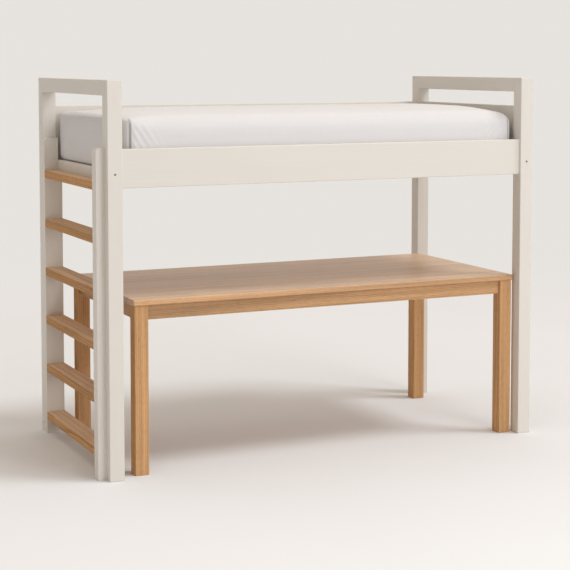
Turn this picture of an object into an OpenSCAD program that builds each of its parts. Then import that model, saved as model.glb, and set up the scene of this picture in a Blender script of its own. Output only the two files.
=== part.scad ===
// Raised cabin bed: four square posts, railed sleeping deck, end ladder, and an oak desk under the deck.
// X runs along the bed with the ladder at -X, -Y is the open front, +Z is up, millimetres.
// The origin is on the floor, under the middle of the overall box.

/* [Bed frame] */
// Length over the posts
bed_length = 2046; // [1900:2:2300]
// Width over the posts
bed_width = 1010; // [960:2:1300]
// Height of the posts
bed_height = 1650; // [1560:5:1900]
// Side of the square posts
post_size = 64; // [58:1:80]
// Height of the top rail at each end
top_rail_height = 64; // [40:1:80]
// Thickness of the side rail, guard panel and head panel, centred on the posts
rail_thickness = 36; // [30:1:44]
// Height of the underside of the rails above the floor
rail_bottom = 1208; // [1000:2:1240]
// Depth of the low front rail
front_rail_height = 160; // [130:2:220]
// Gap between the panel at the head and the top rail above it
head_slot = 66; // [50:1:110]
// Height of the low rail under the mattress at the ladder end
end_rail_height = 64; // [58:1:80]
// Thickness of that low rail
end_rail_thickness = 28; // [20:1:30]
// Radius of the eased edges of the painted wood
edge_ease = 3; // [1:0.5:5]

/* [Slats] */
// Number of slats
slat_count = 14; // [10:1:16]
// Width of a slat
slat_width = 68; // [50:1:80]
// Thickness of a slat
slat_thickness = 18; // [14:1:22]
// Width of the ledge that carries the slats
ledge_width = 24; // [20:1:40]
// Height of the ledge
ledge_height = 30; // [24:1:36]
// Gap at each end of a slat
slat_end_gap = 2; // [1:0.5:4]
// Gap between the last slats and the end of their bay
slat_margin = 8; // [4:1:20]

/* [Ladder] */
// Thickness of the ladder stiles, front to back
stile_thickness = 24; // [20:1:30]
// Width of the stiles between the rungs
stile_width = 83; // [70:1:98]
// Height of the tops of the stiles above the underside of the rails
stile_rise = 166; // [130:2:200]
// Height of the narrow foot of each stile
stile_foot_height = 60; // [40:1:64]
// How far the grab handle of the front stile stands out of the frame
handle_out = 38; // [28:1:60]
// Depth of the grab handle, front to back
handle_depth = 49; // [40:1:54]
// Radius of the outer top corner of the stiles
stile_corner = 16; // [6:1:24]
// Number of rungs
rung_count = 6; // [3:1:6]
// Thickness of a rung
rung_thickness = 36; // [26:1:44]
// Depth of a rung
rung_depth = 86; // [72:1:112]
// Height of the underside of the lowest rung
rung_start = 65; // [65:1:70]
// Distance from the underside of the rails down to the underside of the top rung
rung_drop = 18; // [10:1:30]
// Radius of the eased edges of the oak
oak_ease = 3; // [1:0.5:5]

/* [Mattress] */
// Gap between each end of the mattress and the posts
mattress_end_gap = 9; // [4:1:30]
// Gap between each side of the mattress and the rails
mattress_side_gap = 5; // [3:1:20]
// Height of the mattress at its edges
mattress_height = 222; // [120:1:240]
// Rise of the middle of the mattress above its edges
mattress_crown = 9; // [0:1:20]
// How far the side walls are drawn in at half height
mattress_waist = 4; // [0:0.5:8]
// Radius of the upper edge of the mattress
mattress_shoulder = 44; // [20:1:60]
// Radius of the lower edge of the mattress
mattress_under = 26; // [10:1:40]
// Radius of the upright corners of the mattress
mattress_corner = 62; // [30:1:100]

/* [Desk] */
// Gap between the desk top and the rungs at the ladder end
desk_ladder_gap = 36; // [8:1:400]
// Distance from the back of the posts to the back edge of the desk
desk_back_setback = 100; // [60:1:300]
// Height of the desk
desk_height = 740; // [600:5:800]
// Thickness of the desk top
desk_top_thickness = 25; // [18:1:36]
// Side of the square desk legs
desk_leg_size = 60; // [50:1:70]
// How far the desk top stands out over the legs
desk_overhang = 5; // [2:1:12]
// Height of the aprons
apron_height = 62; // [56:1:90]
// Thickness of the aprons
apron_thickness = 22; // [18:1:24]
// How far the aprons lie behind the face of the legs
apron_setback = 14; // [8:1:16]
// Gap between the desk top and the posts at the head end
desk_side_gap = 10; // [4:1:14]
// Distance from the front of the posts to the front edge of the desk
desk_front_setback = 40; // [0:1:60]
// Leg length of a corner block along each apron
block_reach = 50; // [44:1:60]
// Height of a corner block
block_height = 50; // [44:1:56]

/* [Fasteners] */
// Diameter of the frame bolts
bolt_d = 6; // [5:0.5:8]
// Diameter of the bolt heads
bolt_head_d = 10; // [9:0.5:14]
// Thickness of the bolt heads
bolt_head_height = 4; // [3:0.5:6]
// Width of the hexagon socket in a bolt head, across its corners
bolt_socket_d = 4.6; // [3:0.1:4.8]
// Height of the bolts of the side rails above the underside of the rails
side_bolt_rise = 80; // [76:1:90]
// Height of the bolts of the ends above the underside of the rails
end_bolt_rise = 58; // [50:1:60]
// Distance from the end of a rail to its barrel nut
barrel_inset = 35; // [28:1:45]
// Diameter of a barrel nut
barrel_d = 12; // [10:0.5:14]
// Length of a barrel nut
barrel_length = 18; // [16:1:22]
// Diameter of the threaded insert in a stile
insert_d = 10; // [9:0.5:12]
// Length of the threaded insert
insert_length = 16; // [12:1:18]
// Height of the bolt at the foot of the rear stile
foot_bolt_rise = 40; // [34:1:44]
// Diameter of the painted plugs over the foot bolt and the bolts of the side rails
plug_d = 14; // [12:0.5:18]
// Thickness of those plugs
plug_thickness = 5; // [4:0.5:7]
// Diameter of the dowels
dowel_d = 8; // [6:0.5:9]
// Depth of a dowel in each of its two pieces
dowel_depth = 16; // [12:1:18]
// Distance of the outer dowels from the edge of a rail or panel
dowel_margin = 30; // [22:1:34]
// Distance of the end dowel below the top of the low end rail
end_dowel_drop = 14; // [10:1:16]
// Diameter of the wood screws
screw_d = 4; // [3:0.5:5]
// Diameter of the heads of the wood screws
screw_head_d = 8; // [7:0.5:9]
// Thickness of the heads of the wood screws
screw_head_height = 3; // [2:0.5:4]
// How deep a wood screw goes into the second piece
screw_bite = 18; // [12:1:20]
// Number of screws in each ledge
ledge_screws = 7; // [4:1:9]
// Clearance between a fastener and its hole, on the radius
fit_gap = 0.1; // [0.05:0.05:0.3]
// Clearance between the mattress and what it lies on
rest_gap = 0.3; // [0.2:0.1:1]

/* [Hidden] */
$fn = 32;
eps = 1;

paint = [0.87, 0.83, 0.78];
oak = [0.78, 0.58, 0.40];
slat_wood = [0.88, 0.79, 0.64];
sheet = [0.94, 0.94, 0.94];
steel = [0.55, 0.55, 0.56];
dowel_wood = [0.82, 0.70, 0.52];

// Outer planes of the frame: the grab handle is part of the overall length
x_left = -(bed_length + handle_out) / 2 + handle_out;
x_right = x_left + bed_length;
y_front = -bed_width / 2;
y_back = bed_width / 2;
// Rails and panels are centred on the posts
rail_set = (post_size - rail_thickness) / 2;
post_mid = post_size / 2;
x_in_left = x_left + post_size;
x_in_right = x_right - post_size;
y_in_front = y_front + post_size;
y_in_back = y_back - post_size;
y_rail_in_front = y_front + rail_set + rail_thickness;
y_rail_in_back = y_back - rail_set - rail_thickness;
x_panel_in = x_right - rail_set - rail_thickness;
// Deck heights
deck_z = rail_bottom + end_rail_height;
slat_z = deck_z - slat_thickness;
panel_height = bed_height - top_rail_height - head_slot - rail_bottom;
side_bolt_z = rail_bottom + side_bolt_rise;
end_bolt_z = rail_bottom + end_bolt_rise;
// The mattress fills the bay between the posts and the rails
mattress_length = x_in_right - x_in_left - 2 * mattress_end_gap;
mattress_width = y_rail_in_back - y_rail_in_front - 2 * mattress_side_gap;
// Slats between the low end rail and the posts at the head
x_slat_start = x_in_left + end_rail_thickness + slat_margin;
x_slat_end = x_in_right - slat_margin;
slat_pitch = (x_slat_end - x_slat_start - slat_width) / (slat_count - 1);
slat_length = y_rail_in_back - y_rail_in_front - 2 * slat_end_gap;
y_ledge_mid = y_rail_in_front + ledge_width / 2;
// Ladder stiles stand on the inner faces of the left posts
y_stile_front = y_in_front + stile_thickness;
y_stile_rear = y_in_back - stile_thickness;
rung_length = y_stile_rear - y_stile_front;
stile_height = rail_bottom + stile_rise;
top_rung_bottom = rail_bottom - rung_drop;
rung_pitch = (top_rung_bottom - rung_start) / (rung_count - 1);
// Desk box between the rungs and the posts at the head
x_desk_right = x_in_right - desk_side_gap;
x_desk_left = x_left + rung_depth + desk_ladder_gap;
desk_length = x_desk_right - x_desk_left;
y_desk_front = y_front + desk_front_setback;
y_desk_back = y_back - desk_back_setback;
desk_depth = y_desk_back - y_desk_front;
desk_under = desk_height - desk_top_thickness;
x_leg_left = x_desk_left + desk_overhang;
x_leg_right = x_desk_right - desk_overhang - desk_leg_size;
y_leg_front = y_desk_front + desk_overhang;
y_leg_back = y_desk_back - desk_overhang - desk_leg_size;
apron_in = apron_setback + apron_thickness;
apron_z = desk_under - apron_height;
block_z = desk_under - block_height;
// Lengths of the bolts under their heads
rail_bolt_length = post_size - bolt_head_height + barrel_inset + barrel_d / 2;
side_bolt_length = rail_bolt_length - plug_thickness;
stile_bolt_length = post_size - bolt_head_height + insert_length;
foot_bolt_length = stile_thickness - plug_thickness - bolt_head_height + post_mid + barrel_d / 2;

// ---- Shared shapes -------------------------------------------------------

// Rectangle with round corners as an outline, each corner in three short steps
function eased_outline(w, h, r) = [
    for (c = [[w - r, h - r, 0], [r, h - r, 90], [r, r, 180], [w - r, r, 270]])
        for (k = [0:3]) [c[0] + r * cos(c[2] + 30 * k), c[1] + r * sin(c[2] + 30 * k)]
];

// Bars along each axis with their long edges eased and their ends cut square
module bar_x(l, w, h, r) rotate([90, 0, 90]) linear_extrude(l) polygon(eased_outline(w, h, r));
module bar_z(w, d, h, r) linear_extrude(h) polygon(eased_outline(w, d, r));
module bar_y(w, l, h, r)
    translate([0, l, 0]) rotate([90, 0, 0]) linear_extrude(l) polygon(eased_outline(w, h, r));

// Block with all twelve edges eased
module eased_block(w, d, h, r) intersection() {
    bar_z(w, d, h, r);
    bar_x(w, d, h, r);
    bar_y(w, d, h, r);
}

// Round bar or hole along an axis, from a point, with a length that may be negative
module rod_x(p, l, r) translate([p[0] + min(l, 0), p[1], p[2]]) rotate([0, 90, 0]) cylinder(h = abs(l), r = r);
module rod_y(p, l, r) translate([p[0], p[1] + max(l, 0), p[2]]) rotate([90, 0, 0]) cylinder(h = abs(l), r = r);
module rod_z(p, l, r) translate([p[0], p[1], p[2] + min(l, 0)]) cylinder(h = abs(l), r = r);

// Sockets drawn at a mirrored pair of places about the middle of the bed width
module both_sides() {
    children();
    mirror([0, 1, 0]) children();
}

// Bolt along +X from the origin: flush head with a hexagon socket, then the shank
module bolt(l) difference() {
    union() {
        rotate([0, 90, 0]) cylinder(h = bolt_head_height, d = bolt_head_d);
        translate([bolt_head_height, 0, 0]) rotate([0, 90, 0]) cylinder(h = l, d = bolt_d);
    }
    translate([-eps, 0, 0]) rotate([0, 90, 0])
        cylinder(h = eps + bolt_head_height * 0.6, d = bolt_socket_d, $fn = 6);
}

// Hole for that bolt: counterbore, then a clearance hole
module bolt_hole(l) {
    translate([-eps, 0, 0]) rotate([0, 90, 0])
        cylinder(h = bolt_head_height + eps, d = bolt_head_d + 2 * fit_gap);
    rotate([0, 90, 0]) cylinder(h = bolt_head_height + l, d = bolt_d + 2 * fit_gap);
}

// Wood screw along +X from the origin: pan head, shank and point
module wood_screw(l) {
    rotate([0, 90, 0]) cylinder(h = screw_head_height, d = screw_head_d);
    translate([screw_head_height, 0, 0]) rotate([0, 90, 0]) cylinder(h = l - screw_d, d = screw_d);
    translate([screw_head_height + l - screw_d, 0, 0]) rotate([0, 90, 0])
        cylinder(h = screw_d, d1 = screw_d, d2 = screw_d / 4);
}

// Hole for that screw: counterbore for the head, then a hole for the shank
module screw_hole(l) {
    translate([-eps, 0, 0]) rotate([0, 90, 0])
        cylinder(h = screw_head_height + eps, d = screw_head_d + 2 * fit_gap);
    rotate([0, 90, 0]) cylinder(h = screw_head_height + l, d = screw_d + 2 * fit_gap);
}

// ---- Where the fasteners go ----------------------------------------------

// Heights of the dowels in a rail or panel of a given depth
function dowel_heights(h, n) =
    [for (k = [0:n - 1]) rail_bottom + dowel_margin + k * (h - 2 * dowel_margin) / (n - 1)];

// Bolts of the side rail and the guard panel, through the posts along X and sunk behind their plugs
module at_side_bolts() {
    for (y = [y_front + post_mid, y_back - post_mid]) {
        translate([x_left + plug_thickness, y, side_bolt_z]) children();
        translate([x_right - plug_thickness, y, side_bolt_z]) mirror([1, 0, 0]) children();
    }
}

// Bolts of the head panel, through the right posts along Y
module at_head_bolts() both_sides()
    translate([x_right - post_mid, y_front, end_bolt_z]) rotate([0, 0, 90]) children();

// Bolts of the ladder stiles, through the left posts along Y
module at_stile_bolts() both_sides()
    translate([x_left + post_mid, y_front, end_bolt_z]) rotate([0, 0, 90]) children();

// Bolt at the foot of the rear stile, through the stile into the post
module at_foot_bolt()
    translate([x_left + post_mid, y_stile_rear + plug_thickness, foot_bolt_rise]) rotate([0, 0, 90]) children();

// Dowels along X between the side rail or guard panel and the posts
module side_dowels(r, d) {
    for (x = [x_in_left, x_in_right]) {
        for (z = dowel_heights(front_rail_height, 2)) rod_x([x - d, y_front + post_mid, z], 2 * d, r);
        for (z = dowel_heights(panel_height, 3)) rod_x([x - d, y_back - post_mid, z], 2 * d, r);
    }
}

// Dowels along Y between the head panel and the right posts
module head_dowels(r, d) both_sides()
    for (z = dowel_heights(panel_height, 3)) rod_y([x_right - post_mid, y_in_front - d, z], 2 * d, r);

// Dowels along Y between the top rails and the posts
module top_dowels(r, d) both_sides()
    for (x = [x_left, x_right - post_size])
        for (k = [1, 3])
            rod_y([x + k * post_size / 4, y_in_front - d, bed_height - top_rail_height / 2], 2 * d, r);

// Dowels along Y between the stiles and the left posts, half way between rungs
module stile_dowels(r, d) both_sides()
    for (k = [0:2:rung_count - 2])
        rod_y([x_left + post_mid, y_in_front - d, rung_start + rung_thickness / 2 + rung_pitch * (k + 0.5)],
            2 * d, r);

// Dowels along Y between the low end rail and the side rails
module end_rail_dowels(r, d) both_sides()
    rod_y([x_in_left + end_rail_thickness / 2, y_rail_in_front - d, deck_z - end_dowel_drop], 2 * d, r);

// Dowels along Y between one rung and the stiles
module rung_dowel_pair(i, r, d) both_sides()
    for (k = [1, 3])
        rod_y([x_left + k * rung_depth_at(i) / 4, y_stile_front - d,
            rung_start + rung_thickness / 2 + i * rung_pitch], 2 * d, r);

// The top rung is cut back to the face of the low end rail above it
function rung_depth_at(i) = i == rung_count - 1 ? post_size : rung_depth;

// Screws through the low end rail into the stiles
module at_end_rail_screws() both_sides()
    translate([x_in_left + end_rail_thickness, y_in_front + stile_thickness / 2,
        rail_bottom + end_rail_height / 2]) mirror([1, 0, 0]) children();

// Screws down through the slats into the ledges
module at_slat_screws(i) both_sides()
    translate([x_slat_start + slat_width / 2 + i * slat_pitch, y_ledge_mid, deck_z])
        rotate([0, 90, 0]) children();

// Screws through one ledge into its rail, between the slats
module at_ledge_screws()
    for (k = [0:ledge_screws - 1])
        translate([ledge_screw_x(k), y_rail_in_front + ledge_width, slat_z - ledge_height / 2])
            rotate([0, 0, -90]) children();
function ledge_screw_x(k) =
    x_slat_start + slat_width / 2 + slat_pitch * (0.5 + round(k * (slat_count - 2) / (ledge_screws - 1)));

// ---- Posts ---------------------------------------------------------------

module post(x, y) translate([x, y, 0]) eased_block(post_size, post_size, bed_height, edge_ease);

module post_holes() {
    at_side_bolts() {
        bolt_hole(post_size);
        rod_x([0, 0, 0], -plug_thickness - eps, plug_d / 2 + fit_gap);
    }
    at_head_bolts() bolt_hole(post_size);
    at_stile_bolts() bolt_hole(post_size);
    side_dowels(dowel_d / 2 + fit_gap, dowel_depth);
    head_dowels(dowel_d / 2 + fit_gap, dowel_depth);
    top_dowels(dowel_d / 2 + fit_gap, dowel_depth);
    stile_dowels(dowel_d / 2 + fit_gap, dowel_depth);
}

module post_front_left() color(paint) difference() {
    post(x_left, y_front);
    post_holes();
}

module post_rear_left() color(paint) difference() {
    post(x_left, y_in_back);
    post_holes();
    at_foot_bolt() rotate([0, 90, 0])
        cylinder(h = bolt_head_height + foot_bolt_length, d = bolt_d + 2 * fit_gap);
    rod_x([x_left - eps, y_back - post_mid, foot_bolt_rise],
        eps + post_mid + barrel_length / 2, barrel_d / 2 + fit_gap);
}

module post_front_right() color(paint) difference() {
    post(x_in_right, y_front);
    post_holes();
}

module post_rear_right() color(paint) difference() {
    post(x_in_right, y_in_back);
    post_holes();
}

// ---- Rails and panels ----------------------------------------------------

module top_rail(x) color(paint) difference() {
    translate([x, y_in_front, bed_height - top_rail_height])
        bar_y(post_size, y_in_back - y_in_front, top_rail_height, edge_ease);
    top_dowels(dowel_d / 2 + fit_gap, dowel_depth);
}
module top_rail_left() top_rail(x_left);
module top_rail_right() top_rail(x_in_right);

module end_rail_left() color(paint) difference() {
    translate([x_in_left, y_rail_in_front, rail_bottom])
        bar_y(end_rail_thickness, y_rail_in_back - y_rail_in_front, end_rail_height, edge_ease);
    end_rail_dowels(dowel_d / 2 + fit_gap, dowel_depth);
    at_end_rail_screws() screw_hole(end_rail_thickness);
}

// Panel across the head end, open above it up to the top rail
module head_panel_right() color(paint) difference() {
    translate([x_panel_in, y_in_front, rail_bottom])
        bar_y(rail_thickness, y_in_back - y_in_front, panel_height, edge_ease);
    head_dowels(dowel_d / 2 + fit_gap, dowel_depth);
    at_head_bolts() bolt_hole(rail_bolt_length);
    both_sides() rod_x([x_panel_in - eps, y_in_front + barrel_inset, end_bolt_z],
        eps + (rail_thickness + barrel_length) / 2, barrel_d / 2 + fit_gap);
}

// One long rail or panel between the posts, at the front or at the back
module long_rail(y, h) translate([x_in_left, y, rail_bottom])
    bar_x(x_in_right - x_in_left, rail_thickness, h, edge_ease);

// Cross holes for the barrel nuts, bored from the inner face of the front rail
module long_rail_barrels()
    for (x = [x_in_left + barrel_inset, x_in_right - barrel_inset])
        rod_y([x, y_rail_in_front + eps, side_bolt_z],
            -eps - (rail_thickness + barrel_length) / 2, barrel_d / 2 + fit_gap);

module side_rail_front() color(paint) difference() {
    long_rail(y_front + rail_set, front_rail_height);
    side_dowels(dowel_d / 2 + fit_gap, dowel_depth);
    end_rail_dowels(dowel_d / 2 + fit_gap, dowel_depth);
    at_side_bolts() bolt_hole(side_bolt_length);
    long_rail_barrels();
    at_ledge_screws() screw_hole(ledge_width + screw_bite - screw_head_height);
}

module guard_panel_back() color(paint) difference() {
    long_rail(y_rail_in_back, panel_height);
    side_dowels(dowel_d / 2 + fit_gap, dowel_depth);
    end_rail_dowels(dowel_d / 2 + fit_gap, dowel_depth);
    at_side_bolts() bolt_hole(side_bolt_length);
    mirror([0, 1, 0]) long_rail_barrels();
    mirror([0, 1, 0]) at_ledge_screws() screw_hole(ledge_width + screw_bite - screw_head_height);
}

// ---- Slatted base --------------------------------------------------------

module ledge() difference() {
    translate([x_in_left + end_rail_thickness, y_rail_in_front, slat_z - ledge_height])
        bar_x(x_in_right - x_in_left - end_rail_thickness, ledge_width, ledge_height, 1);
    at_ledge_screws() screw_hole(ledge_width + screw_bite - screw_head_height);
    for (i = [0:slat_count - 1])
        at_slat_screws(i) screw_hole(slat_thickness + screw_bite - screw_head_height);
}
module slat_ledge_front() color(slat_wood) ledge();
module slat_ledge_back() color(slat_wood) mirror([0, 1, 0]) ledge();

module slat(i) color(slat_wood) if (i < slat_count) difference() {
    translate([x_slat_start + i * slat_pitch, y_rail_in_front + slat_end_gap, slat_z])
        bar_y(slat_width, slat_length, slat_thickness, 2);
    at_slat_screws(i) screw_hole(slat_thickness);
}

// ---- Ladder --------------------------------------------------------------

// Outline of a stile seen along Y: narrow foot, wide middle that carries the
// rungs, and a narrow top beside the low end rail with a round outer corner
module stile_outline(out) union() {
    translate([-out, 0]) square([post_size + out, stile_height - stile_corner]);
    translate([-out + stile_corner, stile_height - stile_corner - eps])
        square([post_size + out - stile_corner, stile_corner + eps]);
    translate([-out + stile_corner, stile_height - stile_corner]) circle(r = stile_corner, $fn = 48);
    translate([post_size - eps, stile_foot_height])
        square([stile_width - post_size + eps, top_rung_bottom - stile_foot_height]);
}

// Board from a stile outline, starting at y and going back
module stile_board(out, y, t) translate([x_left, y + t, 0]) rotate([90, 0, 0])
    linear_extrude(t) stile_outline(out);

module stile_holes() {
    stile_dowels(dowel_d / 2 + fit_gap, dowel_depth);
    for (i = [0:rung_count - 1]) rung_dowel_pair(i, dowel_d / 2 + fit_gap, dowel_depth);
    at_end_rail_screws() screw_hole(end_rail_thickness + screw_bite - screw_head_height);
    both_sides() rod_y([x_left + post_mid, y_in_front - eps, end_bolt_z],
        insert_length + eps, insert_d / 2 + fit_gap);
}

// The front stile is rebated round the back corner of its post and stands
// out of the frame as a grab handle all the way up
module ladder_stile_front() color(paint) difference() {
    union() {
        stile_board(0, y_in_front, stile_thickness);
        intersection() {
            stile_board(handle_out, y_stile_front - handle_depth, handle_depth);
            translate([x_left - handle_out, y_stile_front - handle_depth, 0])
                bar_z(handle_out + post_size, handle_depth + post_size, stile_height, edge_ease);
            union() {
                translate([x_left - handle_out, y_stile_front - handle_depth, 0])
                    cube([handle_out, handle_depth, stile_height]);
                translate([x_left - eps, y_in_front, 0]) cube([2 * eps, stile_thickness, stile_height]);
            }
        }
    }
    stile_holes();
}

module ladder_stile_rear() color(paint) difference() {
    stile_board(0, y_stile_rear, stile_thickness);
    stile_holes();
    at_foot_bolt() translate([-eps, 0, 0]) rotate([0, 90, 0])
        cylinder(h = eps + bolt_head_height, d = bolt_head_d + 2 * fit_gap);
    at_foot_bolt() rotate([0, 90, 0]) cylinder(h = stile_thickness, d = bolt_d + 2 * fit_gap);
    rod_y([x_left + post_mid, y_stile_rear - eps, foot_bolt_rise],
        plug_thickness + eps, plug_d / 2 + fit_gap);
}

// Deep oak tread between the stiles
module rung(i) color(oak) if (i < rung_count) difference() {
    translate([x_left, y_stile_front, rung_start + i * rung_pitch])
        bar_y(rung_depth_at(i), rung_length, rung_thickness, oak_ease);
    rung_dowel_pair(i, dowel_d / 2 + fit_gap, dowel_depth);
}

// ---- Mattress ------------------------------------------------------------

// One ring of the mattress: a rectangle with round corners, drawn in by d
function mattress_ring(d, z) = let(
    hx = mattress_length / 2 - d,
    hy = mattress_width / 2 - d,
    r = max(mattress_corner - d, 2)
) [for (c = [[1, 1, 0], [-1, 1, 90], [-1, -1, 180], [1, -1, 270]])
    for (k = [0:6]) [
        c[0] * (hx - r) + r * cos(c[2] + 15 * k),
        c[1] * (hy - r) + r * sin(c[2] + 15 * k), z]];

// Inset and height of every ring: lower edge, waisted wall, shoulder and crown
mattress_rings = let(h = mattress_height, u = mattress_under, s = mattress_shoulder) concat(
    [for (a = [0:22.5:90]) [u * (1 - sin(a)), u * (1 - cos(a))]],
    [for (t = [0.25, 0.5, 0.75]) [mattress_waist * sin(180 * t), u + t * (h - u - s)]],
    [for (a = [0:15:90]) [s * (1 - cos(a)), h - s + s * sin(a)]],
    [for (t = [0.12, 0.25, 0.4, 0.6, 0.8, 0.97])
        [s + t * (mattress_width / 2 - s), h + mattress_crown * (1 - pow(1 - t, 2))]]
);

module mattress() color(sheet) {
    n = 28;
    m = len(mattress_rings);
    pts = [for (q = mattress_rings) for (p = mattress_ring(q[0], q[1])) p];
    sides = [for (j = [0:m - 2]) for (i = [0:n - 1]) for (s = [0, 1]) s == 0
        ? [j * n + i, (j + 1) * n + i, (j + 1) * n + (i + 1) % n]
        : [j * n + i, (j + 1) * n + (i + 1) % n, j * n + (i + 1) % n]];
    bottom = [for (i = [0:n - 1]) i];
    top = [for (i = [0:n - 1]) (m - 1) * n + n - 1 - i];
    translate([(x_in_left + x_in_right) / 2, 0, deck_z + rest_gap])
        polyhedron(points = pts, faces = concat([bottom], sides, [top]));
}

// ---- Desk ----------------------------------------------------------------

module desk_top() color(oak) difference() {
    translate([x_desk_left, y_desk_front, desk_under])
        eased_block(desk_length, desk_depth, desk_top_thickness, oak_ease);
    at_top_screws() screw_hole(block_height + screw_bite - screw_head_height);
}

// Places every corner of the desk as if it were the front left one
module at_desk_corners() {
    translate([x_leg_left, y_leg_front, 0]) children();
    translate([x_leg_right + desk_leg_size, y_leg_front, 0]) mirror([1, 0, 0]) children();
    translate([x_leg_left, y_leg_back + desk_leg_size, 0]) mirror([0, 1, 0]) children();
    translate([x_leg_right + desk_leg_size, y_leg_back + desk_leg_size, 0])
        mirror([1, 0, 0]) mirror([0, 1, 0]) children();
}

// Dowels between the aprons and the leg of one corner
module corner_dowels(r, d) for (z = [apron_z + apron_height / 4, apron_z + apron_height * 3 / 4]) {
    rod_x([desk_leg_size - d, apron_setback + apron_thickness / 2, z], 2 * d, r);
    rod_y([apron_setback + apron_thickness / 2, desk_leg_size - d, z], 2 * d, r);
}

// Diagonal line through a corner block, from its long face towards the leg
block_face = (desk_leg_size + apron_in + block_reach) / 2;
module on_block_diagonal() translate([block_face, block_face, block_z + block_height / 2])
    rotate([0, 0, 225]) children();

// Screws up through the corner blocks into the desk top
module at_top_screws() at_desk_corners()
    translate([desk_leg_size + block_reach / 2, apron_in + screw_head_d, block_z])
        rotate([0, -90, 0]) children();

module desk_leg() difference() {
    eased_block(desk_leg_size, desk_leg_size, desk_under, oak_ease);
    corner_dowels(dowel_d / 2 + fit_gap, dowel_depth);
    on_block_diagonal() rotate([0, 90, 0])
        cylinder(h = block_face * sqrt(2) - desk_leg_size / 2, d = bolt_d + 2 * fit_gap);
}
module desk_leg_front_left() color(oak) translate([x_leg_left, y_leg_front, 0]) desk_leg();
module desk_leg_front_right() color(oak)
    translate([x_leg_right + desk_leg_size, y_leg_front, 0]) mirror([1, 0, 0]) desk_leg();
module desk_leg_rear_left() color(oak)
    translate([x_leg_left, y_leg_back + desk_leg_size, 0]) mirror([0, 1, 0]) desk_leg();
module desk_leg_rear_right() color(oak)
    translate([x_leg_right + desk_leg_size, y_leg_back + desk_leg_size, 0])
        mirror([1, 0, 0]) mirror([0, 1, 0]) desk_leg();

module apron_x(y) color(oak) difference() {
    translate([x_leg_left + desk_leg_size, y, apron_z])
        bar_x(x_leg_right - x_leg_left - desk_leg_size, apron_thickness, apron_height, oak_ease / 2);
    at_desk_corners() corner_dowels(dowel_d / 2 + fit_gap, dowel_depth);
}
module apron_y(x) color(oak) difference() {
    translate([x, y_leg_front + desk_leg_size, apron_z])
        bar_y(apron_thickness, y_leg_back - y_leg_front - desk_leg_size, apron_height, oak_ease / 2);
    at_desk_corners() corner_dowels(dowel_d / 2 + fit_gap, dowel_depth);
}
module desk_apron_front() apron_x(y_leg_front + apron_setback);
module desk_apron_back() apron_x(y_leg_back + desk_leg_size - apron_in);
module desk_apron_left() apron_y(x_leg_left + apron_setback);
module desk_apron_right() apron_y(x_leg_right + desk_leg_size - apron_in);

// Block in each corner, notched over the leg and glued to both aprons
module desk_corner_blocks() color(dowel_wood) difference() {
    at_desk_corners() difference() {
        translate([0, 0, block_z]) linear_extrude(block_height) polygon([
            [desk_leg_size, apron_in],
            [desk_leg_size + block_reach, apron_in],
            [apron_in, desk_leg_size + block_reach],
            [apron_in, desk_leg_size],
            [desk_leg_size, desk_leg_size]
        ]);
        on_block_diagonal() translate([-eps, 0, 0]) rotate([0, 90, 0])
            cylinder(h = block_face * sqrt(2), d = bolt_d + 2 * fit_gap);
    }
    at_top_screws() screw_hole(block_height);
}

module desk_corner_bolts() color(steel) at_desk_corners() on_block_diagonal()
    translate([-bolt_d, 0, 0]) rotate([0, 90, 0])
        cylinder(h = bolt_d + block_face * sqrt(2) - desk_leg_size / 2, d = bolt_d);

module desk_corner_nuts() color(steel) at_desk_corners() on_block_diagonal()
    translate([-bolt_d * 0.8, 0, 0]) rotate([0, 90, 0]) difference() {
        cylinder(h = bolt_d * 0.8, d = bolt_d * 1.9, $fn = 6);
        translate([0, 0, -eps]) cylinder(h = bolt_d + 2 * eps, d = bolt_d + 2 * fit_gap);
    }

module desk_top_screws() color(steel) at_top_screws()
    wood_screw(block_height + screw_bite - screw_head_height);

module desk_dowels() color(dowel_wood) at_desk_corners() corner_dowels(dowel_d / 2, dowel_depth);

// ---- Fasteners of the bed ------------------------------------------------

module rail_bolts() color(steel) {
    at_side_bolts() bolt(side_bolt_length);
    at_head_bolts() bolt(rail_bolt_length);
}

module bolt_plugs() color(paint) at_side_bolts() rod_x([0, 0, 0], -plug_thickness, plug_d / 2);

// Barrel nut standing on Z, with the thread hole across it
module barrel_nut() difference() {
    cylinder(h = barrel_length, d = barrel_d);
    translate([0, 0, barrel_length / 2]) rotate([0, 90, 0])
        cylinder(h = 2 * barrel_d, d = bolt_d + 2 * fit_gap, center = true);
}

module barrel_nuts() color(steel) {
    both_sides() {
        for (x = [x_in_left + barrel_inset, x_in_right - barrel_inset])
            translate([x, y_front + post_mid - barrel_length / 2, side_bolt_z])
                rotate([-90, 0, 0]) barrel_nut();
        translate([x_right - post_mid + barrel_length / 2, y_in_front + barrel_inset, end_bolt_z])
            rotate([0, 0, 90]) rotate([-90, 0, 0]) barrel_nut();
    }
    translate([x_left + post_mid + barrel_length / 2, y_back - post_mid, foot_bolt_rise])
        rotate([0, -90, 0]) rotate([0, 0, 90]) barrel_nut();
}

module stile_bolts() color(steel) {
    at_stile_bolts() bolt(stile_bolt_length);
    at_foot_bolt() bolt(foot_bolt_length);
}

module stile_inserts() color(steel) both_sides() difference() {
    rod_y([x_left + post_mid, y_in_front, end_bolt_z], insert_length, insert_d / 2);
    rod_y([x_left + post_mid, y_in_front - eps, end_bolt_z], insert_length + 2 * eps, bolt_d / 2 + fit_gap);
}

module stile_plug() color(paint)
    rod_y([x_left + post_mid, y_stile_rear, foot_bolt_rise], plug_thickness, plug_d / 2);

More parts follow.
